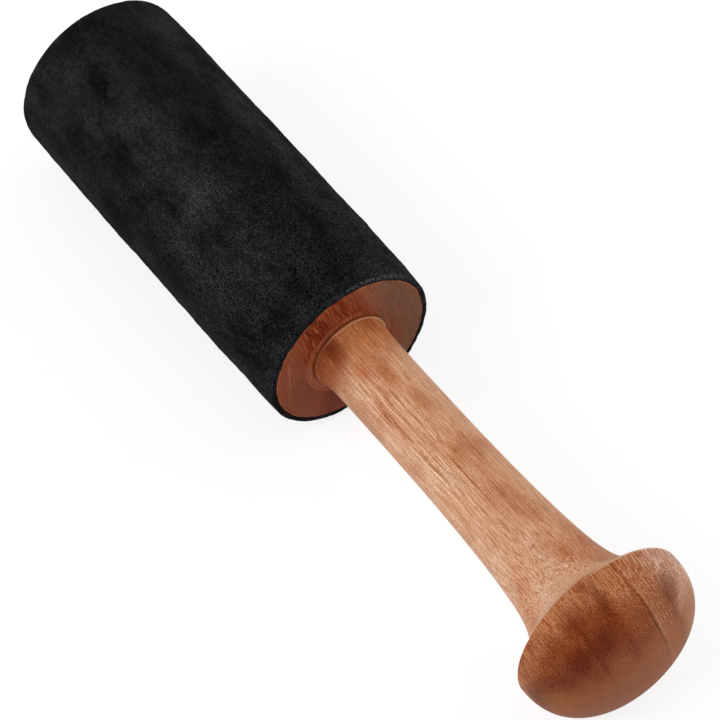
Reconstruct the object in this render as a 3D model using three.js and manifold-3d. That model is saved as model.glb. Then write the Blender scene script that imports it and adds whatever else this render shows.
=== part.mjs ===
// Singing bowl mallet: a suede-covered wooden head on a turned handle that ends in a mushroom knob.
// Millimetres. The mallet lies on its side: the long axis is X, the knob points to +X, and Z is up.
// The origin is the middle of the bounding box's base, so the head and knob lie on the plane z = 0.

import * as THREE from 'three';
import { mergeVertices } from 'three/addons/utils/BufferGeometryUtils.js';
import Module from 'manifold-3d';

// Head: overall size of the sleeve, which draws in slightly towards both ends.
const headLength = 119;
const headDiameter = 50;
const headDrawIn = 0.55;
const suedeThickness = 1.3;
const farEdgeRounding = 4.5;
const nearEdgeRounding = 0.5;
const suedeLipReach = 1.5;
const seamWidth = 0.4;
const seamDirection = 255;

// Near end face of the core: a fine chamfer at its rim, and a shallow recess that takes the handle's foot.
const coreRimChamfer = 0.4;
const footRecessDiameter = 27.2;
const footRecessDepth = 0.4;

// Handle: a collar at its foot, a slim waist, a swell that fills the palm, and the flare that carries the knob.
const gripLength = 101.8;
const footDiameter = 22.3;
const footCollarHeight = 0.35;
const footTaperLength = 17.5;
const waistDiameter = 20.4;
const waistPlace = 3;
const palmDiameter = 29;
const flareDiameter = 40;

// Round tenons at both ends of the handle, glued into blind sockets.
const headTenonDiameter = 16;
const headTenonLength = 45;
const knobTenonDiameter = 14;
const knobTenonLength = 12;
const tenonChamfer = 1;
const glueGap = 0.3;

// Knob: heights are measured from its seat on the flare towards the top of the dome.
const knobDiameter = 49.5;
const knobRimHeight = 2.65;
const knobEdgeHeight = 0.3;
const knobEdgeDepth = 0.75;
const knobDomeHeight = 17.35;

// How fast each long curve bends: plain powers, without a unit.
const barrelPower = 4;
const footTaperPower = 4.6;
const palmSwellPower = 3.6;
const flarePower = 21;
const domePower = 2.5;

// How finely the round surfaces are divided.
const roundSides = 48;
const barrelSteps = 8;
const roundingSteps = 4;
const rimSteps = 3;
const domeSteps = 9;
const gripSteps = 18;

const cutOverrun = 2;

const headRadius = headDiameter / 2;
const nearFace = headLength;
const knobSeat = nearFace + gripLength;
const overallLength = knobSeat + knobRimHeight + knobDomeHeight;

// Every outline is a list of [place along the axis from the far end, radius] points.

// A quarter turn about a centre. It starts at the far side and ends at the outside.
function roundedFarCorner(centreAlong, centreRadius, rounding) {
  return Array.from({ length: roundingSteps + 1 }, (_, step) => {
    const angle = (step / roundingSteps) * (Math.PI / 2);
    return [centreAlong - rounding * Math.cos(angle), centreRadius + rounding * Math.sin(angle)];
  });
}

// The sleeve's outer radius falls away slowly at first and faster near the ends.
function headRadiusAt(along) {
  const fromMiddle = (2 * along) / headLength - 1;
  return headRadius - headDrawIn * fromMiddle ** barrelPower;
}

// Points along the head's side between two places, a given depth under the suede's outer surface.
function barrelSide(from, to, depth) {
  return Array.from({ length: barrelSteps + 1 }, (_, step) => {
    const along = from + (to - from) * (step / barrelSteps);
    return [along, headRadiusAt(along) - depth];
  });
}

// Turn an outline about the axis. One flat side of the polygon faces straight down.
function turned(outline) {
  const points = outline.map(([along, radius]) => new THREE.Vector2(radius, along));
  return new THREE.LatheGeometry(points, roundSides, Math.PI / roundSides);
}

const wasm = await Module();
wasm.setup();

function toSolid(geometry) {
  const bare = geometry.clone();
  bare.deleteAttribute('normal');
  bare.deleteAttribute('uv');
  const merged = mergeVertices(bare);
  return new wasm.Manifold(new wasm.Mesh({
    numProp: 3,
    vertProperties: merged.getAttribute('position').array,
    triVerts: Uint32Array.from(merged.getIndex().array),
  }));
}

function toGeometry(solid) {
  const mesh = solid.getMesh();
  const geometry = new THREE.BufferGeometry();
  geometry.setAttribute('position', new THREE.BufferAttribute(mesh.vertProperties, 3));
  geometry.setIndex(new THREE.BufferAttribute(mesh.triVerts, 1));
  geometry.computeVertexNormals();
  return geometry;
}

// Where the suede rolls over the far edge: the centre of the rounding, and the edge of the lip.
const roundingCentreRadius = headRadiusAt(farEdgeRounding) - farEdgeRounding;
const lipRadius = roundingCentreRadius - suedeLipReach;

// Head core. Its far edge is turned down so that the suede's lip finishes flush with the bare end face.
function headCore() {
  const coreDepth = suedeThickness + glueGap;
  const nearRadius = headRadiusAt(nearFace) - coreDepth;
  const recessFloor = nearFace - footRecessDepth;
  const socketRadius = headTenonDiameter / 2 + glueGap;
  const socketEnd = recessFloor - headTenonLength - glueGap;
  return turned([
    [0, 0],
    [0, lipRadius - glueGap],
    [coreDepth, lipRadius - glueGap],
    ...roundedFarCorner(farEdgeRounding, roundingCentreRadius, farEdgeRounding - coreDepth),
    ...barrelSide(farEdgeRounding, nearFace - coreRimChamfer, coreDepth).slice(1),
    [nearFace, nearRadius - coreRimChamfer],
    [nearFace, footRecessDiameter / 2],
    [recessFloor, footRecessDiameter / 2 - footRecessDepth],
    [recessFloor, socketRadius],
    [socketEnd, socketRadius],
    [socketEnd, 0],
  ]);
}

// Suede sleeve. One strip wrapped round the core, its two edges meeting in a straight butt seam.
function suedeSleeve() {
  const nearRadius = headRadiusAt(nearFace);
  const innerSide = barrelSide(farEdgeRounding, nearFace, suedeThickness);
  const innerCorner = roundedFarCorner(farEdgeRounding, roundingCentreRadius, farEdgeRounding - suedeThickness);
  const wrap = turned([
    [0, lipRadius],
    ...roundedFarCorner(farEdgeRounding, roundingCentreRadius, farEdgeRounding),
    ...barrelSide(farEdgeRounding, nearFace - nearEdgeRounding, 0).slice(1),
    [nearFace, nearRadius - nearEdgeRounding],
    ...innerSide.reverse(),
    ...innerCorner.reverse().slice(1),
    [suedeThickness, lipRadius],
    [0, lipRadius],
  ]);

  const seamDepth = headRadius - lipRadius + 2 * cutOverrun;
  const seam = new THREE.BoxGeometry(seamWidth, headLength + 2 * cutOverrun, seamDepth);
  seam.translate(0, headLength / 2, (headRadius + lipRadius) / 2);
  seam.rotateY(THREE.MathUtils.degToRad(seamDirection));
  return toGeometry(toSolid(wrap).subtract(toSolid(seam)));
}

// The grip's radius at a distance from the head's end face. A short taper leaves the foot, a slow swell
// grows from the waist along the hand, and a quick one opens into the flare.
function gripRadiusAt(fromHead) {
  const waistRadius = waistDiameter / 2;
  const footShare = Math.max(0, 1 - fromHead / footTaperLength);
  const swellShare = Math.max(0, (fromHead - waistPlace) / (gripLength - waistPlace));
  const foot = (footDiameter / 2 - waistRadius) * footShare ** footTaperPower;
  const palm = (palmDiameter / 2 - waistRadius) * swellShare ** palmSwellPower;
  const flare = (flareDiameter / 2 - palmDiameter / 2) * swellShare ** flarePower;
  return waistRadius + foot + palm + flare;
}

// Handle. Its foot stands in the head's recess, and both tenons are turned from the same wood as the grip.
function handle() {
  const footSeat = nearFace - footRecessDepth + glueGap;
  const headTenonRadius = headTenonDiameter / 2;
  const headTenonEnd = nearFace - footRecessDepth - headTenonLength;
  const shoulder = gripLength - glueGap;
  const knobTenonRadius = knobTenonDiameter / 2;
  const knobTenonEnd = knobSeat + knobTenonLength;

  // The points lie closer together towards the foot and the flare, where the grip curves most.
  const grip = Array.from({ length: gripSteps + 1 }, (_, step) => {
    const lengthShare = (1 - Math.cos(Math.PI * (step / gripSteps))) / 2;
    const fromHead = footCollarHeight + (shoulder - footCollarHeight) * lengthShare;
    return [nearFace + fromHead, gripRadiusAt(fromHead)];
  });
  return turned([
    [headTenonEnd, 0],
    [headTenonEnd, headTenonRadius - tenonChamfer],
    [headTenonEnd + tenonChamfer, headTenonRadius],
    [footSeat, headTenonRadius],
    [footSeat, footDiameter / 2],
    [nearFace + footCollarHeight, footDiameter / 2],
    ...grip,
    [nearFace + shoulder, knobTenonRadius],
    [knobTenonEnd - tenonChamfer, knobTenonRadius],
    [knobTenonEnd, knobTenonRadius - tenonChamfer],
    [knobTenonEnd, 0],
  ]);
}

// Knob. Its underside slopes on from the flare to a soft edge below the rim, and the dome closes it.
function knob() {
  const socketRadius = knobTenonDiameter / 2 + glueGap;
  const socketEnd = knobSeat + knobTenonLength + glueGap;
  const rimRadius = knobDiameter / 2;
  const rim = knobSeat + knobRimHeight;

  const softEdge = Array.from({ length: rimSteps + 1 }, (_, step) => {
    const angle = (step / rimSteps) * (Math.PI / 2);
    return [rim - knobEdgeHeight * Math.cos(angle), rimRadius - knobEdgeDepth * (1 - Math.sin(angle))];
  });
  const dome = Array.from({ length: domeSteps - 1 }, (_, step) => {
    const angle = ((step + 1) / domeSteps) * (Math.PI / 2);
    const heightShare = Math.sin(angle) ** (2 / domePower);
    const radiusShare = Math.cos(angle) ** (2 / domePower);
    return [rim + knobDomeHeight * heightShare, rimRadius * radiusShare];
  });
  return turned([
    [socketEnd, 0],
    [socketEnd, socketRadius],
    [knobSeat, socketRadius],
    [knobSeat, flareDiameter / 2],
    ...softEdge,
    ...dome,
    [overallLength, 0],
  ]);
}

const bareWood = { metalness: 0, roughness: 0.5 };

function piece(name, geometry, material) {
  const mesh = new THREE.Mesh(geometry, new THREE.MeshStandardMaterial(material));
  mesh.name = name;
  return mesh;
}

// The outlines stand upright about Y. Turned to lie along X, the far end points to -X.
const mallet = new THREE.Group();
mallet.add(
  piece('head_core', headCore(), { ...bareWood, color: 0x7d4a30 }),
  piece('suede_sleeve', suedeSleeve(), { color: 0x232425, metalness: 0, roughness: 0.95 }),
  piece('handle', handle(), { ...bareWood, color: 0xcc9878 }),
  piece('knob', knob(), { ...bareWood, color: 0x87503a }),
);
mallet.rotation.z = -Math.PI / 2;
mallet.position.set(-overallLength / 2, 0, headRadius * Math.cos(Math.PI / roundSides));

const wholeModel = new THREE.Group();
wholeModel.add(mallet);

export default wholeModel;
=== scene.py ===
import math

import bpy
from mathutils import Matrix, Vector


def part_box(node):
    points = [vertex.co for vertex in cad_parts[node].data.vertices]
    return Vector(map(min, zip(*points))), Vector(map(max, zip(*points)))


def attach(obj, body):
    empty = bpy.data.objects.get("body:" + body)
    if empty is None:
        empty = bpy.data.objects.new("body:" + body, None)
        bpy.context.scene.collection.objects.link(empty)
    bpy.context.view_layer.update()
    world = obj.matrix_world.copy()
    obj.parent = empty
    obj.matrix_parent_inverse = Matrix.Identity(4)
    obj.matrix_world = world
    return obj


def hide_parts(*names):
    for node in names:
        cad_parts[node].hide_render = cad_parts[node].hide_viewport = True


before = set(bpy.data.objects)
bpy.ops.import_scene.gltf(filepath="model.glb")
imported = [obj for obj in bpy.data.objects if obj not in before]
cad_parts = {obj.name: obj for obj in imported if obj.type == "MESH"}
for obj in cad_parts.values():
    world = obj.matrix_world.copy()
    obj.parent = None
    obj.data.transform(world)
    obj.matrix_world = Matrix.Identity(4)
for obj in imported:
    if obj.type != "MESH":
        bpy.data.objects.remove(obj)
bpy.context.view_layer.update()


# Head core. A cylinder of reddish hardwood, turned between centres with its end grain on both faces.
# A shallow recess in the near face takes the handle's foot, and a blind socket behind it the tenon.
core_low, core_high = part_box("head_core")
sleeve_low, sleeve_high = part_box("suede_sleeve")
far_face = core_low.x
near_face = core_high.x
head_length = near_face - far_face
axis_height = (sleeve_low.z + sleeve_high.z) / 2
frame_sides = 48
head_radius = (sleeve_high.y - sleeve_low.y) / 2 / math.cos(math.pi / frame_sides)
end_draw_in = 0.00055
barrel_power = 4
suede_thickness = 0.0014
rolled_edge = 0.0045
lip_reach = 0.0015
glue_line = 0.00002
foot_recess_radius = 0.0136
foot_recess_depth = 0.0004
head_socket_radius = 0.0083
head_socket_depth = 0.0453
core_rim_chamfer = 0.0003
core_easing = 0.00008
side_steps = 24
corner_steps = 8
lathe_sides = 256
merge_distance = 1e-6
sharp_corner = math.radians(35)
smooth_turn = math.radians(30)


def head_radius_at(x):
    """The sleeve's outer radius, which draws in towards both ends of the head."""
    from_middle = 2 * (x - far_face) / head_length - 1
    return head_radius - end_draw_in * from_middle ** barrel_power


def quarter_turn(centre_x, centre_radius, size, steps):
    """Points round a far corner, from the far side to the outside."""
    angles = [math.pi / 2 * step / steps for step in range(steps + 1)]
    return [(centre_x - size * math.cos(a), centre_radius + size * math.sin(a)) for a in angles]


def straight_run(start, end, steps, radius_at):
    """Points along the side between two places, without the first of them."""
    places = [start + (end - start) * (step + 1) / steps for step in range(steps)]
    return [(x, radius_at(x)) for x in places]


def turned(name, outline, sides=lathe_sides, start=0.0, sweep=2 * math.pi):
    """Draws an outline of (x, radius) points beside the mallet's axis and spins it, as a lathe does."""
    bpy.ops.object.select_all(action="DESELECT")
    bpy.ops.mesh.primitive_plane_add(size=head_radius, location=(0, 0, 0))
    piece = bpy.context.object
    piece.name = name
    piece.data.name = name
    beside = (math.cos(start), math.sin(start))
    places = [(x, radius * beside[0], axis_height + radius * beside[1]) for x, radius in outline]
    bpy.ops.object.mode_set(mode="EDIT")
    bpy.ops.mesh.merge(type="CENTER")
    bpy.ops.transform.translate(value=places[0])
    for here, there in zip(places, places[1:]):
        step = [b - a for a, b in zip(here, there)]
        bpy.ops.mesh.extrude_region_move(TRANSFORM_OT_translate={"value": step})
    bpy.ops.mesh.select_all(action="SELECT")
    bpy.ops.mesh.spin(steps=sides, angle=sweep, center=(0, 0, axis_height), axis=(1, 0, 0))
    bpy.ops.mesh.select_all(action="SELECT")
    bpy.ops.mesh.remove_doubles(threshold=merge_distance)
    if sweep < 2 * math.pi:
        bpy.ops.mesh.select_all(action="DESELECT")
        bpy.ops.mesh.select_non_manifold()
        bpy.ops.mesh.fill_holes(sides=0)
        bpy.ops.mesh.select_all(action="SELECT")
    bpy.ops.mesh.normals_make_consistent(inside=False)
    bpy.ops.object.mode_set(mode="OBJECT")
    return piece


def eased(piece, width):
    """Breaks every sharp corner of a turned piece, as a touch of abrasive paper does."""
    bpy.ops.object.select_all(action="DESELECT")
    bpy.context.view_layer.objects.active = piece
    piece.select_set(True)
    bevel = piece.modifiers.new("eased corners", "BEVEL")
    bevel.width = width
    bevel.segments = 2
    bevel.limit_method = "ANGLE"
    bevel.angle_limit = sharp_corner
    bpy.ops.object.modifier_apply(modifier=bevel.name)
    bpy.ops.object.shade_smooth_by_angle(angle=smooth_turn)


core_side_depth = suede_thickness + glue_line
rounding_start = far_face + rolled_edge
rounding_centre_radius = head_radius_at(rounding_start) - rolled_edge
lip_radius = rounding_centre_radius - lip_reach
recess_floor = near_face - foot_recess_depth
core_near_radius = head_radius_at(near_face) - core_side_depth


def core_radius_at(x):
    """The core's radius under the suede and its glue."""
    return head_radius_at(x) - core_side_depth


head_core = turned("head_core_wood", [
    (far_face, 0),
    (far_face, lip_radius - glue_line),
    (far_face + core_side_depth, lip_radius - glue_line),
    *quarter_turn(rounding_start, rounding_centre_radius, rolled_edge - core_side_depth, corner_steps),
    *straight_run(rounding_start, near_face - core_rim_chamfer, side_steps, core_radius_at),
    (near_face, core_near_radius - core_rim_chamfer),
    (near_face, foot_recess_radius),
    (recess_floor, foot_recess_radius - foot_recess_depth),
    (recess_floor, head_socket_radius),
    (recess_floor - head_socket_depth, head_socket_radius),
    (recess_floor - head_socket_depth, 0),
])
eased(head_core, core_easing)

millimetres_per_metre = 1000


class Tone:
    """A number, colour or vector on its way through a finish. Sums on it add the nodes they need."""

    def __init__(self, finish, socket):
        self.finish = finish
        self.socket = socket

    def sum(self, operation, first, second):
        return self.finish.node("ShaderNodeMath", {"operation": operation}, {0: first, 1: second})

    def __add__(self, other):
        return self.sum("ADD", self, other)

    def __sub__(self, other):
        return self.sum("SUBTRACT", self, other)

    def __mul__(self, other):
        return self.sum("MULTIPLY", self, other)

    def __truediv__(self, other):
        return self.sum("DIVIDE", self, other)

    def __rsub__(self, other):
        return self.sum("SUBTRACT", other, self)

    __radd__ = __add__
    __rmul__ = __mul__


class NodeTree:
    """The nodes of a finish, or of the air in the studio."""

    def __init__(self, owner):
        owner.use_nodes = True
        self.tree = owner.node_tree

    def node(self, kind, settings=None, inputs=None, output=0):
        """Adds a node. Its settings come first, then the values or links of its sockets."""
        made = self.tree.nodes.new(kind)
        for key, value in (settings or {}).items():
            if key == "stops":
                elements = made.color_ramp.elements
                elements[0].position, elements[0].color = value[0]
                elements[-1].position, elements[-1].color = value[-1]
                for place, colour in value[1:-1]:
                    elements.new(place).color = colour
            else:
                setattr(made, key, value)
        for key, value in (inputs or {}).items():
            self.join(value, made.inputs[key])
        return Tone(self, made.outputs[output])

    def join(self, value, socket):
        """Links a tone to a socket, or writes a plain value on it."""
        if isinstance(value, Tone):
            self.tree.links.new(value.socket, socket)
        else:
            socket.default_value = value


class Finish(NodeTree):
    """One material. Its patterns are laid out in millimetres from a point on the mallet's axis."""

    def __init__(self, name, centre_x, grain_turn=0.0):
        self.material = bpy.data.materials.new(name)
        super().__init__(self.material)
        self.shader = self.tree.nodes["Principled BSDF"]
        self.place = self.node("ShaderNodeMapping", {}, {
            "Vector": self.node("ShaderNodeTexCoord", output="Object"),
            "Location": [-millimetres_per_metre * place for place in (centre_x, 0, axis_height)],
            "Scale": [millimetres_per_metre] * 3,
        })
        self.grain = self.node("ShaderNodeMapping", {}, {
            "Vector": self.place,
            "Rotation": (grain_turn, 0, 0),
        })

    def vector(self, operation, inputs, output=0):
        """Vector maths."""
        return self.node("ShaderNodeVectorMath", {"operation": operation}, inputs, output)

    def cloud(self, fineness, detail=2.0, roughness=0.5):
        """A cloudy pattern along the grain. Larger numbers make it finer in x, y or z."""
        return self.node("ShaderNodeTexNoise", {}, {
            "Vector": self.vector("MULTIPLY", {0: self.grain, 1: fineness}),
            "Scale": 1.0,
            "Detail": detail,
            "Roughness": roughness,
        })

    def wave(self, phase):
        """Even waves between -1 and 1. Each takes two pi of the phase."""
        return self.node("ShaderNodeMath", {"operation": "SINE"}, {0: phase})

    def step(self, value, low, high):
        """Rises smoothly from 0 at low to 1 at high."""
        inputs = {"Value": value, "From Min": low, "From Max": high}
        return self.node("ShaderNodeMapRange", {"interpolation_type": "SMOOTHSTEP"}, inputs)

    def between(self, value, rise, fall):
        """1 between two edges. It rises across the first pair of numbers and falls across the second."""
        return self.step(value, *rise) * (1 - self.step(value, *fall))

    def along(self, axis):
        """The place along one axis of the grain. X is the mallet's length, and Y crosses the layers."""
        return self.node("ShaderNodeSeparateXYZ", {}, {0: self.grain}, output="XYZ".index(axis))

    def radius(self):
        """How far a place lies from the mallet's axis."""
        flat = self.vector("MULTIPLY", {0: self.place, 1: (0, 1, 1)})
        return self.vector("LENGTH", {0: flat}, output="Value")

    def bands(self, value, stops):
        """Colours read off a list of (place in millimetres, colour) stops."""
        low, high = stops[0][0], stops[-1][0]
        settings = {"stops": [((place - low) / (high - low), colour) for place, colour in stops]}
        return self.node("ShaderNodeValToRGB", settings, {0: (value - low) / (high - low)})

    def spot(self, centre, size):
        """1 at a place on the piece, falling to 0 at the edge of an ellipsoid round it. In millimetres."""
        offset = self.vector("SUBTRACT", {0: self.place, 1: centre})
        scaled = self.vector("DIVIDE", {0: offset, 1: size})
        return self.step(1 - self.vector("LENGTH", {0: scaled}, output="Value"), 0, 1)

    def mix(self, factor, first, second):
        """One colour where the factor is 0, and another where it is 1."""
        inputs = {"Factor": factor, 6: first, 7: second}
        return self.node("ShaderNodeMix", {"data_type": "RGBA"}, inputs, output=2)

    def shade(self, colour, amount):
        """A colour made lighter or darker by an amount that varies."""
        return self.vector("SCALE", {0: colour if isinstance(colour, Tone) else colour[:3], 3: amount})

    def grained(self, colour, amount, change):
        """Wood as written where the amount is 0.5. It reddens as it darkens below that, and pales above."""
        dark = (*[1 - share for share in change], 1)
        pale = (*[1 + share for share in change], 1)
        return self.vector("MULTIPLY", {0: colour, 1: self.mix(amount, dark, pale)})

    def push_grain(self, direction, amount):
        """Moves the grain sideways by an amount that varies."""
        push = self.vector("SCALE", {0: direction, 3: amount})
        self.grain = self.vector("ADD", {0: self.grain, 1: push})

    def bend_grain(self, amount, fineness):
        """Makes the grain wander sideways in long waves."""
        self.push_grain((0, 1, 1), (self.cloud(fineness, detail=1) - 0.5) * amount)

    def bump(self, height, distance, strength=1.0):
        """Relief in the surface, with the distance in metres."""
        inputs = {"Height": height, "Distance": distance, "Strength": strength}
        return self.node("ShaderNodeBump", {}, inputs)

    def set(self, **values):
        """Joins values to the shader's own sockets."""
        for key, value in values.items():
            self.join(value, self.shader.inputs[key.replace("_", " ")])

    def cover(self, piece):
        """Gives a piece this finish alone."""
        piece.data.materials.clear()
        piece.data.materials.append(self.material)


def srgb(red, green, blue):
    """A colour as seen, 0 to 255, turned into light."""
    seen = [channel / 255 for channel in (red, green, blue)]
    light = [c / 12.92 if c <= 0.04045 else ((c + 0.055) / 1.055) ** 2.4 for c in seen]
    return (*light, 1.0)


core_grain_turn = math.radians(-5)
year_ring_diameter = 110
core_edge = millimetres_per_metre * core_near_radius

end_grain = Finish("end_grain_wood", near_face, core_grain_turn)
up_layers = end_grain.along("Z")
end_grain.push_grain((0, 1, 0), up_layers * up_layers / year_ring_diameter)
across = end_grain.along("Y")
from_axis = end_grain.radius()
near_side = end_grain.step(end_grain.along("X"), -3, -1)
end_grain.bend_grain(2, (0.05, 0.05, 0.06))
wander = end_grain.cloud((0.1, 0.16, 0.12))
layers = end_grain.cloud((0.03, 0.34, 0.03), roughness=0.6)
streaks = end_grain.cloud((0.4, 2.0, 0.09), detail=1, roughness=0.7)
fine = end_grain.cloud((0.6, 4.4, 0.22), detail=0)
dashes = end_grain.cloud((0.5, 2.2, 0.6), detail=0)

wood = end_grain.bands(across + (layers - 0.5) * 10, [
    (-24, srgb(146, 72, 34)),
    (-15, srgb(142, 68, 32)),
    (-10, srgb(146, 68, 36)),
    (-7, srgb(126, 50, 25)),
    (-5, srgb(111, 39, 20)),
    (-2.5, srgb(134, 57, 30)),
    (0, srgb(136, 58, 31)),
    (2.5, srgb(108, 37, 17)),
    (5, srgb(138, 60, 32)),
    (9, srgb(152, 84, 50)),
    (14, srgb(130, 82, 56)),
    (24, srgb(124, 78, 52)),
])
upper = end_grain.step(up_layers, -9, 5)
vivid = end_grain.between(across, (-15, -9), (3, 8)) * upper
contrast = (streaks - 0.5) * (0.4 + vivid * 0.7) + (fine - 0.5) * (0.8 + vivid * 2)
wood = end_grain.grained(wood, 0.5 + contrast, (0.3, 0.64, 0.9))
pale_streaks = end_grain.step(streaks, 0.62, 0.72) * (0.06 + vivid * 0.3)
wood = end_grain.mix(pale_streaks, wood, srgb(194, 116, 76))
pale_hairs = end_grain.step(fine, 0.62, 0.7) * vivid * 0.6
wood = end_grain.mix(pale_hairs, wood, srgb(202, 124, 86))
speckles = end_grain.step(dashes, 0.64, 0.74) * (0.06 + end_grain.step(across, 6, 13) * 0.22)
wood = end_grain.mix(speckles, wood, srgb(176, 122, 82))
pale_vein = end_grain.spot((0, -19, 0), (3, 1, 11)) * end_grain.step(fine, 0.44, 0.58)
wood = end_grain.mix(pale_vein * 0.5, wood, srgb(196, 132, 94))
warm_patch = end_grain.spot((0, 14, -5), (3, 6, 12))
wood = end_grain.mix(warm_patch * 0.7, wood, srgb(156, 78, 42))
# Painted shade: the lower part of the near face is darkened, as less light falls there.
wood = end_grain.shade(wood, 0.88 + upper * 0.12)
# Painted light round the foot's recess: a pale ring over its floor and wall, stronger on the left where
# light catches the wall. It also paints over the recess's own shade.
recess_lit_side = (0.25 + 0.75 * (1 - end_grain.step(across, 3, 9))) * near_side
recess_light = end_grain.between(from_axis, (11.35, 11.7), (13.4, 13.9)) * recess_lit_side
recess_light = recess_light * (0.45 + end_grain.step(fine, 0.42, 0.6) * 0.35)
wood = end_grain.mix(recess_light, wood, srgb(190, 112, 72))
# Painted highlight: a thin pale line on the recess's outer edge, stronger on the lit side.
recess_edge_highlight = end_grain.between(from_axis, (13.1, 13.5), (13.6, 14)) * recess_lit_side
wood = end_grain.mix(recess_edge_highlight * 0.4, wood, srgb(206, 126, 82))
bright_rim = end_grain.step(from_axis, core_edge - 0.5, core_edge - 0.25)
bright_rim = bright_rim * end_grain.step(wander, 0.44, 0.56)
wood = end_grain.mix(bright_rim * 0.7, wood, srgb(206, 120, 74))
tool_marks = end_grain.wave(from_axis * 9)
relief = streaks * 0.5 + fine * 0.3 + tool_marks * 0.05
end_grain.set(
    Base_Color=wood,
    Roughness=0.3 + streaks * 0.14,
    Specular_IOR_Level=0.12,
    Normal=end_grain.bump(relief, 0.00005),
)
end_grain.cover(head_core)
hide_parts("head_core")
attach(head_core, "root")


# Suede sleeve. One strip of black suede, nap side out, glued round the core with a butt seam at the back.
# Its far edge is rolled over the core's rounded corner, and its near edge is cut flush with the wood.
cut_edge = 0.0005
cut_rounding = cut_edge * 0.3
frayed_length = cut_edge * 1.5
seam_gap = 0.0004
seam_angle = math.radians(-15)
sleeve_sides = 314
sleeve_corner_steps = 14
inner_corner_steps = 6
nap_spacing = 0.0005
bare_lip = 0.0008
nap_depth = 0.0002
nap_smoothing = math.radians(50)

seam_sweep = seam_gap / head_radius
nap_rows = round(head_length / nap_spacing)
inner_rounding = rolled_edge - suede_thickness


def inner_radius_at(x):
    """The sleeve's inner radius, on the glue."""
    return head_radius_at(x) - suede_thickness


# The outline runs along the outside to the near face and back along the inside. The corner inside is taken
# backwards, without the point that it shares with the side.
suede_sleeve = turned("suede_wrap", [
    (far_face, lip_radius),
    *quarter_turn(rounding_start, rounding_centre_radius, rolled_edge, sleeve_corner_steps),
    *straight_run(rounding_start, near_face - cut_edge, nap_rows, head_radius_at),
    (near_face - cut_rounding, head_radius_at(near_face) - cut_rounding),
    (near_face, head_radius_at(near_face) - cut_edge),
    (near_face, inner_radius_at(near_face)),
    *straight_run(near_face, rounding_start, side_steps, inner_radius_at),
    *quarter_turn(rounding_start, rounding_centre_radius, inner_rounding, inner_corner_steps)[-2::-1],
    (far_face + suede_thickness, lip_radius),
    (far_face, lip_radius),
], sides=sleeve_sides, start=seam_angle + seam_sweep / 2, sweep=2 * math.pi - seam_sweep)
bpy.ops.object.shade_smooth_by_angle(angle=nap_smoothing)


def uneven(piece, name, chosen, wave, push, direction="NORMAL"):
    """Pushes chosen corners of a mesh in and out by a cloudy pattern, without a seam."""
    group = piece.vertex_groups.new(name=name)
    group.add([corner.index for corner in piece.data.vertices if chosen(corner.co)], 1.0, "REPLACE")
    clouds = bpy.data.textures.new(name, "CLOUDS")
    clouds.noise_scale = wave
    clouds.noise_depth = 2
    displace = piece.modifiers.new(name, "DISPLACE")
    displace.vertex_group = group.name
    displace.texture = clouds
    displace.texture_coords = "LOCAL"
    displace.direction = direction
    displace.strength = push
    bpy.ops.object.modifier_apply(modifier=displace.name)


def on_nap(place):
    """Whether a corner lies on the sleeve's outside, short of its cut edge and its lip."""
    if not far_face + bare_lip < place.x < near_face - cut_edge / 2:
        return False
    radius = math.hypot(place.y, place.z - axis_height)
    if place.x > rounding_start:
        return radius > head_radius_at(place.x) - nap_depth
    return radius > head_radius_at(place.x) - rolled_edge / 2


def on_cut_edge(place):
    """Whether a corner belongs to the sleeve's cut edge beside the wood."""
    return place.x > near_face - frayed_length


uneven(suede_sleeve, "stretched hide", on_nap, wave=0.012, push=0.0005)
uneven(suede_sleeve, "brushed nap", on_nap, wave=0.0025, push=0.00022)
uneven(suede_sleeve, "fine nap", on_nap, wave=0.0007, push=0.0001)
uneven(suede_sleeve, "knife cut", on_cut_edge, wave=0.0025, push=0.0006, direction="X")

suede = Finish("black_suede", near_face)
drift = suede.cloud((0.035, 0.05, 0.05), roughness=0.6)
brushed = suede.cloud((0.09, 0.14, 0.14), detail=4, roughness=0.7)
tufts = suede.cloud((1.0, 1.2, 1.2), detail=1, roughness=0.7)
nap = suede.cloud((3.1, 3.4, 3.4), detail=0)
from_rim = suede.along("X")
# Painted shade: the top of the sleeve is darkened, as less light falls on it.
top_shade = suede.step(suede.spot((-60, 2, 24), (200, 16, 15)) + (drift - 0.5) * 0.9, 0.15, 0.8)
# A lighter patch high on the sleeve's -Y side.
lighter_patch = suede.step(suede.spot((-32, -14, 20), (60, 11, 11)) + (drift - 0.5) * 0.6, 0.1, 0.8)
# Painted shade: the side of the sleeve towards -Y is darkened.
side_shade = 1 - suede.step(suede.along("Y") + (drift - 0.5) * 20, -25, -12)
lie = suede.step(drift, 0.34, 0.66) * 0.55 + suede.step(brushed, 0.36, 0.64) * 0.75
hide = suede.shade(srgb(33, 32.5, 33.5), (0.35 + lie) * (1 - top_shade * 0.45) * (1 - side_shade * 0.3))
tip_contrast = 0.08 + 0.8 * suede.step(from_rim + (brushed - 0.5) * 60, -105, -20)
tips = suede.step(nap, 0.48, 0.74) * 2.8 - 0.55
hide = suede.shade(hide, 1 + tips * tip_contrast + (tufts - 0.5) * 1.9 + lighter_patch * 0.2)
edge_light = suede.spot((-0.4, 9, 21), (3, 20, 14)) * suede.step(from_rim, -0.9, -0.5)
edge_light = edge_light * suede.step(suede.radius(), 23.4, 23.8) * suede.step(tufts, 0.3, 0.75)
hide = suede.mix(edge_light * 0.9, hide, srgb(94, 97, 101))
suede.set(
    Base_Color=hide,
    Roughness=0.95,
    Specular_IOR_Level=0.0,
    Sheen_Weight=0.03,
    Sheen_Roughness=0.5,
    Sheen_Tint=(0.8, 0.85, 1, 1),
    Normal=suede.bump(nap * 0.6 + tufts, 0.00025, 0.8),
)
suede.cover(suede_sleeve)
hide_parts("suede_sleeve")
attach(suede_sleeve, "root")


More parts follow.
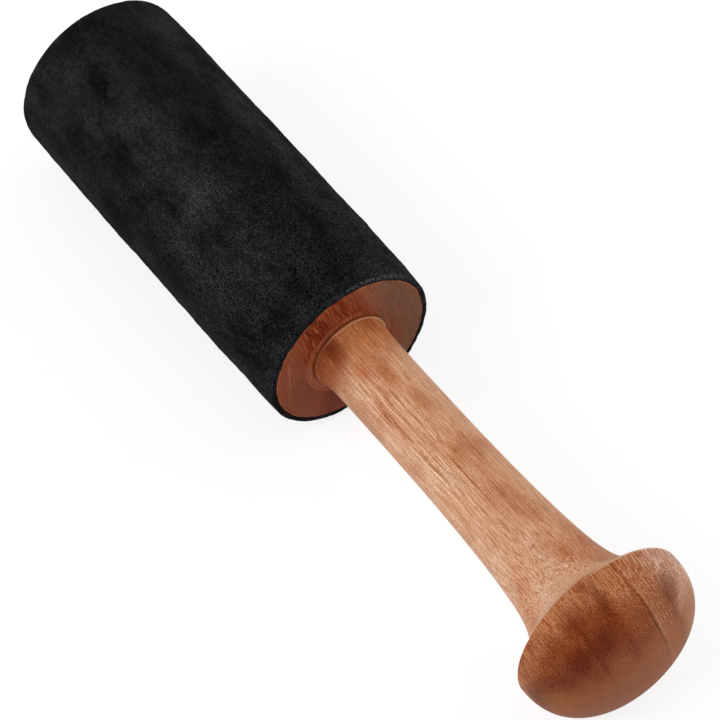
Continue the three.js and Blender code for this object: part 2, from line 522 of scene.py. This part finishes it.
# Handle. Turned from a paler, straight-grained blank: a crisp collar at its foot, a slim waist, a swell for
# the palm, and a flare under the knob. It is sanded fine and oiled, and its tenons are glued into the head
# and the knob.
handle_low, handle_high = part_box("handle")
knob_low, knob_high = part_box("knob")
knob_seat = knob_low.x
grip_length = knob_seat - near_face
foot_radius = 0.01115
foot_collar_height = 0.00035
collar_overhang = 0.0002
foot_taper_length = 0.0175
foot_taper_power = 4.6
waist_radius = 0.0102
waist_place = 0.003
palm_radius = 0.0145
palm_swell_power = 3.6
flare_radius = 0.020
flare_power = 21
head_tenon_radius = 0.008
knob_tenon_radius = 0.007
tenon_chamfer = 0.001
handle_easing = 0.00006
grip_steps = 72

shoulder = knob_seat - glue_line
grip_start = near_face + foot_collar_height
foot_seat = recess_floor + glue_line


def grip_radius_at(x):
    """The grip's radius: a short taper off the foot, a slow swell along the palm and a quick flare."""
    from_head = x - near_face
    foot_share = max(0, 1 - from_head / foot_taper_length)
    swell_share = max(0, (from_head - waist_place) / (grip_length - waist_place))
    foot = (foot_radius - collar_overhang - waist_radius) * foot_share ** foot_taper_power
    palm = (palm_radius - waist_radius) * swell_share ** palm_swell_power
    flare = (flare_radius - palm_radius) * swell_share ** flare_power
    return waist_radius + foot + palm + flare


def grip_place(step):
    """A place along the grip. The steps shorten towards the foot and the flare, where it curves most."""
    return grip_start + (shoulder - grip_start) * (1 - math.cos(math.pi * step / grip_steps)) / 2


grip_places = [grip_place(step) for step in range(grip_steps + 1)]
handle = turned("handle_wood", [
    (handle_low.x, 0),
    (handle_low.x, head_tenon_radius - tenon_chamfer),
    (handle_low.x + tenon_chamfer, head_tenon_radius),
    (foot_seat, head_tenon_radius),
    (foot_seat, foot_radius),
    (grip_start, foot_radius),
    *[(x, grip_radius_at(x)) for x in grip_places],
    (shoulder, knob_tenon_radius),
    (handle_high.x - tenon_chamfer, knob_tenon_radius),
    (handle_high.x, knob_tenon_radius - tenon_chamfer),
    (handle_high.x, 0),
])
eased(handle, handle_easing)

grip_grain_turn = math.radians(-15)

# How far the waves of the grain lines turn in a millimetre across the layers, in radians.
grain_line_phase = 8.4

pale_wood = Finish("pale_grip_wood", near_face, grip_grain_turn)
from_foot = pale_wood.along("X")
across = pale_wood.along("Y")
pale_wood.bend_grain(1.8, (0.035, 0.05, 0.05))
figure = pale_wood.cloud((0.035, 0.17, 0.14), detail=1)
strands = pale_wood.cloud((0.03, 0.9, 0.8), detail=0)
strings = pale_wood.cloud((0.06, 3, 2.8), detail=0)
fibres = pale_wood.cloud((0.1, 2.5, 2.3), detail=0)
threads = pale_wood.cloud((0.2, 3.4, 3.2), detail=0)
grit = pale_wood.cloud((2.6, 3.4, 3.2), detail=0)
ripple = pale_wood.cloud((1.8, 0.3, 0.3), detail=0)
clusters = pale_wood.cloud((0.07, 0.22, 0.2), detail=1)
stain = pale_wood.cloud((0.07, 0.13, 0.12), detail=1)
lined = pale_wood.step(pale_wood.spot((32, -6, 9), (42, 9, 9)) + (clusters - 0.5) * 3, 0.3, 0.9)
satin = pale_wood.step(figure, 0.46, 0.6)

wood = pale_wood.mix(pale_wood.step(figure, 0.36, 0.62), srgb(210, 155, 119), srgb(216, 169, 138))
wood = pale_wood.mix(pale_wood.step(across, -8, 6) * 0.7, wood, srgb(216, 158, 119))
wood = pale_wood.mix(pale_wood.step(stain, 0.48, 0.72) * 0.4, wood, srgb(190, 122, 80))
# Near the foot the wood turns darker and more orange: a real stain, deepened with painted shade from the
# head.
foot_stain_and_shade = 1 - pale_wood.step(from_foot - across * 0.3 + (stain - 0.5) * 14, 3, 14)
wood = pale_wood.mix(foot_stain_and_shade * 0.8, wood, srgb(187, 109, 58))

# Each patch has a place and a size in millimetres, a depth and a colour. The places count
# from the middle of the head's near face: along the mallet, across it and up. Most are figures of the
# grain;
# the dark brown patches at the foot's lower side are stain darkened with painted shade from the head.
grip_figures_and_shade = [
    ((19, -1.6, 10.1), (8, 4, 4), 0.7, srgb(186, 106, 60)),
    ((12.5, -5.5, 8.6), (7, 4, 4), 0.7, srgb(184, 106, 60)),
    ((30, 0.5, 10.2), (8, 3, 3), 0.45, srgb(190, 116, 72)),
    ((46, -1.8, 10.2), (7, 3, 3), 0.32, srgb(190, 118, 74)),
    ((50.5, -3.6, 9.8), (5, 2.5, 3), 0.4, srgb(188, 116, 74)),
    ((73, -10, 5.5), (5, 3, 3), 0.35, srgb(186, 116, 76)),
    ((90.3, 0.1, 13.4), (5, 3.5, 4), 0.6, srgb(190, 112, 68)),
    ((92, 9, 12), (30, 11, 10), 0.75, srgb(188, 116, 72)),
    ((87, -13, 4.5), (6, 3, 3), 0.35, srgb(186, 118, 80)),
    # The next two: stain at the foot's lower side, darkened with painted shade from the head.
    ((1, -8.8, 5), (16, 10, 12), 0.9, srgb(144, 72, 38)),
    ((2.4, -10.6, 0), (12, 6, 8), 0.7, srgb(150, 80, 44)),
    ((2, 4, 9.6), (5, 4.5, 4), 0.7, srgb(164, 84, 40)),
    ((8, -1, 10.5), (8, 5, 5), 0.35, srgb(174, 98, 48)),
    ((14.5, -1.2, 10.5), (7, 4.5, 5), 0.5, srgb(170, 94, 44)),
    ((13, 4, 10), (7, 4, 4), 0.3, srgb(182, 112, 64)),
    ((87, 0, 13.3), (13, 6.5, 6), 0.45, srgb(186, 114, 70)),
    # Stain at the foot's lower side, darkened with painted shade from the head.
    ((2, -7.2, 8), (9, 4.5, 5), 0.75, srgb(122, 52, 24)),
    ((21, -10.3, 0), (16, 4, 4), 0.85, srgb(188, 136, 102)),
    ((66, -9.6, 5.5), (12, 4, 4), 0.25, srgb(216, 174, 146)),
]
ragged = (stain - 0.5) * 0.6
ravelled = (strands - 0.5) * 0.15
for place, size, depth, colour in grip_figures_and_shade:
    patch = pale_wood.step(pale_wood.spot(place, size) + ragged + ravelled, 0, 0.9)
    wood = pale_wood.mix(patch * depth, wood, colour)
pores = 1 - pale_wood.step(strings, 0.3, 0.42)
wood = pale_wood.mix(pores * (0.14 + lined * 0.42), wood, srgb(156, 94, 62))
dashes = (1 - pale_wood.step(threads, 0.3, 0.4)) * (0.1 + pale_wood.step(from_foot, 55, 90) * 0.35)
wood = pale_wood.mix(dashes, wood, srgb(158, 96, 64))
flared = pale_wood.step(from_foot, 80, 97)
grain_lines = pale_wood.wave(pale_wood.along("Y") * grain_line_phase + strands * 11 + fibres * 5)
grain_lines = grain_lines * pale_wood.step(fibres, 0.3, 0.6)
contrast = (strands - 0.5) * 0.15 + (fibres - 0.5) * 0.1 + (threads - 0.5) * (0.6 + lined * 0.5)
contrast = contrast + grain_lines * (0.2 + lined * 0.28)
rippled = (ripple - 0.5) * (satin * 0.2 + lined * 0.3) + (grit - 0.5) * (0.9 - flared * 0.3)
wood = pale_wood.grained(wood, 0.5 + contrast + rippled, (0.34, 0.58, 0.8))
lit_edge = pale_wood.step(across, -9, -1)
# Painted highlight: a thin pale line on the collar's edge, bright on the lit side.
collar_highlight = pale_wood.between(from_foot, (0.24, 0.32), (0.36, 0.48))
wood = pale_wood.mix(collar_highlight * (0.02 + lit_edge * 0.65), wood, srgb(228, 178, 140))
# Painted shade: the collar's side darkens where it stands in the head's recess.
collar = 1 - pale_wood.step(from_foot, 0.15, 0.25)
wood = pale_wood.mix(collar * 0.7, wood, srgb(140, 76, 44))
pale_wood.set(
    Base_Color=wood,
    Roughness=0.34 + fibres * 0.18,
    Specular_IOR_Level=0.15,
    Normal=pale_wood.bump(fibres * 0.5 + threads * 0.6, 0.00006),
)
pale_wood.cover(handle)
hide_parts("handle")
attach(handle, "root")


# Knob. A mushroom turned from darker, redder wood and polished brighter than the grip. Side grain shows
# round its rim and end grain over the dome. A blind socket in its underside takes the handle's tenon.
knob_socket_radius = 0.0073
knob_socket_depth = 0.0123
rim_height = 0.00265
soft_edge_height = 0.0003
soft_edge_depth = 0.00075
soft_edge_steps = 6
rim_radius = (knob_high.y - knob_low.y) / 2 / math.cos(math.pi / frame_sides)
dome_power = 2.5
dome_steps = 56
knob_easing = 0.00004

rim = knob_seat + rim_height
dome_height = knob_high.x - rim


def soft_edge_point(share):
    """A point on the edge between the sloping underside and the rim."""
    angle = math.pi / 2 * share
    return (rim - soft_edge_height * math.cos(angle), rim_radius - soft_edge_depth * (1 - math.sin(angle)))


def dome_point(share):
    """A point on the dome, from the rim at 0 to the top at 1."""
    angle = math.pi / 2 * share
    height = math.sin(angle) ** (2 / dome_power)
    radius = max(0, math.cos(angle)) ** (2 / dome_power)
    return (rim + dome_height * height, rim_radius * radius)


knob = turned("knob_wood", [
    (knob_seat + knob_socket_depth, 0),
    (knob_seat + knob_socket_depth, knob_socket_radius),
    (knob_seat, knob_socket_radius),
    (knob_seat, flare_radius),
    *[soft_edge_point(step / soft_edge_steps) for step in range(soft_edge_steps + 1)],
    *[dome_point(step / dome_steps) for step in range(1, dome_steps)],
    (knob_high.x, 0),
])
eased(knob, knob_easing)

red_wood = Finish("polished_knob_wood", near_face, grip_grain_turn)
from_seat = red_wood.along("X") - millimetres_per_metre * grip_length
up_layers = red_wood.along("Z")
red_wood.bend_grain(2, (0.04, 0.04, 0.05))
across = red_wood.along("Y")
mottle = red_wood.cloud((0.14, 0.3, 0.16))
fibres = red_wood.cloud((0.12, 1.8, 0.5), detail=1, roughness=0.7)
threads = red_wood.cloud((0.28, 4.4, 2.4), detail=0)
veins = red_wood.cloud((0.3, 2.8, 0.3), detail=1)
grit = red_wood.cloud((3.0, 3.4, 3.2), detail=0)

ring_place = across + (mottle - 0.5) * 1.4
layers = red_wood.bands(ring_place, [
    (-24, srgb(138, 72, 34)),
    (-18.5, srgb(130, 64, 30)),
    (-15.5, srgb(132, 63, 28)),
    (-9, srgb(141, 69, 31)),
    (-8.2, srgb(114, 46, 18)),
    (-7.4, srgb(136, 64, 30)),
    (-2.5, srgb(146, 72, 36)),
    (0.7, srgb(136, 62, 28)),
    (3, srgb(156, 82, 44)),
    (8.1, srgb(164, 90, 52)),
    (8.5, srgb(112, 48, 22)),
    (8.9, srgb(184, 118, 80)),
    (12, srgb(170, 102, 66)),
    (14.6, srgb(150, 86, 54)),
    (16.8, srgb(198, 142, 112)),
    (24, srgb(216, 172, 146)),
])
rim_reach = from_seat + (mottle - 0.5) * 7 - red_wood.step(across, -2, 6) * 6
side_grain = 1 - red_wood.step(rim_reach, 3, 11)
side_tone = red_wood.mix(red_wood.step(across, 12, 18), srgb(186, 119, 79), srgb(206, 156, 128))
side_depth = side_grain * (0.42 + red_wood.step(across, -23, -12) * 0.43)
wood = red_wood.mix(side_depth, layers, side_tone)
growth_line = red_wood.between(ring_place, (7.9, 8.4), (8.5, 8.9))
wood = red_wood.mix(growth_line * 0.5, wood, srgb(122, 56, 30))
knob_figures = [
    ((111, -5.8, 22), (9, 3, 7), 0.55, srgb(114, 48, 22)),
    ((114.5, -8, 19), (7, 3.5, 6.5), 0.3, srgb(110, 44, 16)),
    ((116.5, -20, 5.5), (6, 6, 7), 0.7, srgb(104, 42, 12)),
    ((114, -22.5, 2), (7, 5, 7), 0.7, srgb(104, 46, 22)),
    ((117, -15.5, 11.5), (6.5, 6.5, 7.5), 0.88, srgb(100, 32, 5)),
    ((117.6, -9.5, 15.5), (6.5, 6.5, 7), 0.75, srgb(102, 33, 6)),
    ((112.5, -14, 18), (7, 5, 5), 0.3, srgb(114, 48, 22)),
    ((115, 12.7, 17.4), (9, 5.5, 6.5), 0.6, srgb(120, 48, 14)),
    ((112, -21, -3), (10, 8, 10), 0.85, srgb(100, 49, 20)),
    ((120.5, -6, 8), (5, 6, 5), 0.4, srgb(168, 98, 56)),
    ((120, 2, 11.5), (4, 5, 5), 0.3, srgb(124, 56, 26)),
    ((117.5, 2.5, 18), (6, 5, 5), 0.3, srgb(120, 52, 22)),
]
ragged = (mottle - 0.5) * 0.3
veined = (veins - 0.5) * 0.75
for place, size, depth, colour in knob_figures:
    patch = red_wood.step(red_wood.spot(place, size) + ragged + veined, 0, 0.9)
    wood = red_wood.mix(patch * depth, wood, colour)
# Painted reflection: the lower dome is painted paler and milky, as the floor shows in the polish, and the
# grain's contrast is lowered there.
floor_reflection = (1 - red_wood.step(up_layers + (mottle - 0.5) * 6, 3, 11)) * red_wood.step(from_seat, 8, 14)
wood = red_wood.mix(floor_reflection * 0.65, wood, srgb(167, 96, 52))
arcs = red_wood.wave(across * 7 + mottle * 9)
arc_band = red_wood.between(across, (8.7, 9.4), (12, 14)) * (1 - floor_reflection)
grain_outside_reflection = 1 - floor_reflection * 0.6
grain_lines = red_wood.wave(across * grain_line_phase + veins * 7 + fibres * 6)
grain_lines = grain_lines * red_wood.step(threads, 0.3, 0.6)
contrast = (fibres - 0.5) * 0.3 + (threads - 0.5) * (0.8 + side_grain) + (veins - 0.5) * 0.6
contrast = contrast + (grit - 0.5) * 1.8 + grain_lines * (0.1 + side_grain * 0.3)
wood = red_wood.grained(wood, 0.5 + contrast * grain_outside_reflection + arcs * arc_band * 0.12, (0.3, 0.6, 0.85))
pale_dashes = arc_band * red_wood.step(arcs, 0, 0.9) * red_wood.step(threads, 0.46, 0.6)
wood = red_wood.mix(pale_dashes * 0.45, wood, srgb(222, 164, 128))
edge_gleam = red_wood.between(from_seat, (2.2, 2.4), (2.8, 3.3)) * red_wood.step(across, 0, 7)
wood = red_wood.mix(edge_gleam * 0.55, wood, srgb(228, 184, 152))
red_wood.set(
    Base_Color=wood,
    Roughness=0.32 + fibres * 0.14,
    Specular_IOR_Level=0.13,
    Normal=red_wood.bump(fibres * 0.4 + threads * 0.4 + grit * 0.4, 0.00006),
)
red_wood.cover(knob)
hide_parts("knob")
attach(knob, "root")


# Studio. A pale floor that reads as white, two broad soft lamps low on both sides of the mallet, an even
# pale surrounding, and the camera at the photograph's angle.
floor_size = 8
floor_clearance = 0.0004
paper_glow = 0.78
air_light = 0.52
air_in_reflections = 0.2
lamp_size = 0.8
white = (1, 1, 1, 1)
shaded_grey = (0.3, 0.3, 0.3, 1)
lit_grey = (0.85, 0.85, 0.85, 1)

bpy.ops.object.select_all(action="DESELECT")
bpy.ops.mesh.primitive_plane_add(size=floor_size, location=(0, 0, -floor_clearance))
floor = bpy.context.object
floor.name = "floor"
floor_paint = Finish("floor_paint", 0)
floor_paint.set(Base_Color=shaded_grey, Roughness=1.0, Specular_IOR_Level=0.0)
shaded_paper = Tone(floor_paint, floor_paint.shader.outputs[0])
glow = floor_paint.node("ShaderNodeEmission", {}, {"Color": white, "Strength": paper_glow})
seen_paper = floor_paint.node("ShaderNodeAddShader", {}, {0: shaded_paper, 1: glow})
lit_paper = floor_paint.node("ShaderNodeBsdfDiffuse", {}, {"Color": lit_grey})
seen_by_camera = floor_paint.node("ShaderNodeLightPath", output="Is Camera Ray")
paper = floor_paint.node("ShaderNodeMixShader", {}, {0: seen_by_camera, 1: lit_paper, 2: seen_paper})
floor_paint.join(paper, floor_paint.tree.nodes["Material Output"].inputs["Surface"])
floor_paint.cover(floor)

world = bpy.data.worlds.new("studio_air")
bpy.context.scene.world = world
air = NodeTree(world)
reflected = air.node("ShaderNodeLightPath", output="Is Glossy Ray")
air_strength = air.node("ShaderNodeMapRange", {}, {
    "Value": reflected,
    "To Min": air_light,
    "To Max": air_in_reflections,
})
background = air.tree.nodes["Background"]
air.join(white, background.inputs["Color"])
air.join(air_strength, background.inputs["Strength"])


def soft_lamp(name, place, power):
    """A broad lamp that faces the middle of the mallet."""
    distance = math.hypot(*place)
    tilt = math.acos(place[2] / distance)
    turn = math.atan2(place[1], place[0]) + math.pi / 2
    bpy.ops.object.light_add(type="AREA", location=place, rotation=(tilt, 0, turn))
    lamp = bpy.context.object
    lamp.name = name
    lamp.data.shape = "SQUARE"
    lamp.data.size = lamp_size
    lamp.data.energy = power
    lamp.visible_glossy = False


soft_lamp("front_lamp", place=(-0.1, -1.0, 0.7), power=7.5)
soft_lamp("rear_lamp", place=(0.1, 1.1, 0.5), power=5.0)

camera_azimuth = math.radians(54.40)
camera_elevation = math.radians(52.17)
near_face_across = -0.002485
near_face_up = 0.002669
near_face_distance = 1.1126
focal_length = 217.08
sensor_width = 36
nearest_seen = 0.05
farthest_seen = 20

back = (
    math.sin(camera_azimuth) * math.cos(camera_elevation),
    -math.cos(camera_azimuth) * math.cos(camera_elevation),
    math.sin(camera_elevation),
)
rightward = (math.cos(camera_azimuth), math.sin(camera_azimuth), 0)
upward = (
    -math.sin(camera_azimuth) * math.sin(camera_elevation),
    math.cos(camera_azimuth) * math.sin(camera_elevation),
    math.cos(camera_elevation),
)
aim = (near_face, 0, axis_height)
bpy.ops.object.camera_add(
    location=[
        a - near_face_across * r - near_face_up * u + near_face_distance * b
        for a, r, u, b in zip(aim, rightward, upward, back)
    ],
    rotation=(math.pi / 2 - camera_elevation, 0, camera_azimuth),
)
camera = bpy.context.object
camera.data.lens = focal_length
camera.data.sensor_width = sensor_width
camera.data.clip_start = nearest_seen
camera.data.clip_end = farthest_seen
bpy.context.scene.camera = camera
bpy.context.scene.view_settings.view_transform = "Standard"
